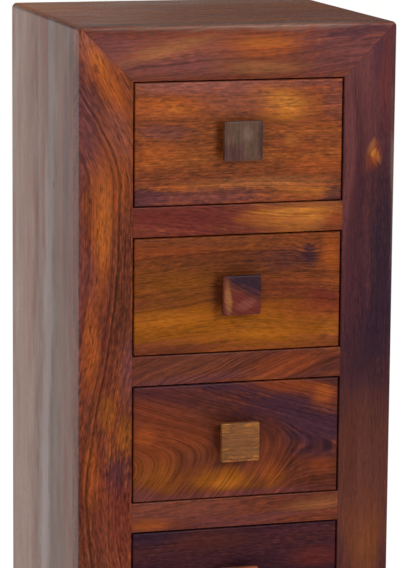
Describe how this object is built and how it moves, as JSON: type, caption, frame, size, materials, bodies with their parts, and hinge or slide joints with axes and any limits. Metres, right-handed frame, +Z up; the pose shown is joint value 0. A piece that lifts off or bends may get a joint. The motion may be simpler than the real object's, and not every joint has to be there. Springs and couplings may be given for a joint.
{
  "type": "chest of drawers",
  "caption": "Tall narrow wooden chest of drawers with a mitred face frame, inset dovetailed drawers on wooden runners and square wooden knobs.",
  "frame": {"origin": "middle of the case's footprint, at the floor", "axes": "+Z up; -Y is the front, where the drawers open; +X is the right side as a person faces the front"},
  "size_m": [0.3, 0.2735, 0.762],
  "materials": {
    "case_rosewood": "stained rosewood under satin lacquer",
    "frame_rosewood": "stained rosewood under satin lacquer, strongly figured",
    "front_rosewood": "stained rosewood under satin lacquer, strongly figured",
    "knob_rosewood": "rosewood under satin lacquer",
    "inner_hardwood": "planed hardwood, thinly sealed",
    "drawer_ply": "thin plywood, thinly sealed",
    "back_ply": "thin plywood, stained",
    "screw_steel": "zinc-plated steel"
  },
  "bodies": {
    "case": {"side_board_left": "case_rosewood", "side_board_right": "case_rosewood", "top_board": "case_rosewood", "bottom_board": "case_rosewood", "back_panel": "back_ply", "back_panel_screws": "screw_steel", "stile_left": "frame_rosewood", "stile_right": "frame_rosewood", "top_rail": "frame_rosewood", "bottom_rail": "frame_rosewood", "top_kickers": "inner_hardwood", "divider_rail_1": "frame_rosewood", "divider_rail_2": "frame_rosewood", "divider_rail_3": "frame_rosewood", "divider_rail_4": "frame_rosewood", "runner_left_1": "inner_hardwood", "runner_right_1": "inner_hardwood", "runner_left_2": "inner_hardwood", "runner_right_2": "inner_hardwood", "runner_left_3": "inner_hardwood", "runner_right_3": "inner_hardwood", "runner_left_4": "inner_hardwood", "runner_right_4": "inner_hardwood", "runner_left_5": "inner_hardwood", "runner_right_5": "inner_hardwood"},
    "drawer_1": {"drawer_1_front": "front_rosewood", "drawer_1_side_left": "inner_hardwood", "drawer_1_side_right": "inner_hardwood", "drawer_1_rear": "inner_hardwood", "drawer_1_bottom": "drawer_ply", "drawer_1_knob": "knob_rosewood", "drawer_1_knob_screw": "screw_steel"},
    "drawer_2": {"drawer_2_front": "front_rosewood", "drawer_2_side_left": "inner_hardwood", "drawer_2_side_right": "inner_hardwood", "drawer_2_rear": "inner_hardwood", "drawer_2_bottom": "drawer_ply", "drawer_2_knob": "knob_rosewood", "drawer_2_knob_screw": "screw_steel"},
    "drawer_3": {"drawer_3_front": "front_rosewood", "drawer_3_side_left": "inner_hardwood", "drawer_3_side_right": "inner_hardwood", "drawer_3_rear": "inner_hardwood", "drawer_3_bottom": "drawer_ply", "drawer_3_knob": "knob_rosewood", "drawer_3_knob_screw": "screw_steel"},
    "drawer_4": {"drawer_4_front": "front_rosewood", "drawer_4_side_left": "inner_hardwood", "drawer_4_side_right": "inner_hardwood", "drawer_4_rear": "inner_hardwood", "drawer_4_bottom": "drawer_ply", "drawer_4_knob": "knob_rosewood", "drawer_4_knob_screw": "screw_steel"},
    "drawer_5": {"drawer_5_front": "front_rosewood", "drawer_5_side_left": "inner_hardwood", "drawer_5_side_right": "inner_hardwood", "drawer_5_rear": "inner_hardwood", "drawer_5_bottom": "drawer_ply", "drawer_5_knob": "knob_rosewood", "drawer_5_knob_screw": "screw_steel"}
  },
  "joints": [
    {"name": "drawer_1_slide", "type": "slide", "parent": "case", "child": "drawer_1", "axis": [0, -1, 0], "range_m": [0, 0.175]},
    {"name": "drawer_2_slide", "type": "slide", "parent": "case", "child": "drawer_2", "axis": [0, -1, 0], "range_m": [0, 0.175]},
    {"name": "drawer_3_slide", "type": "slide", "parent": "case", "child": "drawer_3", "axis": [0, -1, 0], "range_m": [0, 0.175]},
    {"name": "drawer_4_slide", "type": "slide", "parent": "case", "child": "drawer_4", "axis": [0, -1, 0], "range_m": [0, 0.175]},
    {"name": "drawer_5_slide", "type": "slide", "parent": "case", "child": "drawer_5", "axis": [0, -1, 0], "range_m": [0, 0.175]}
  ]
}
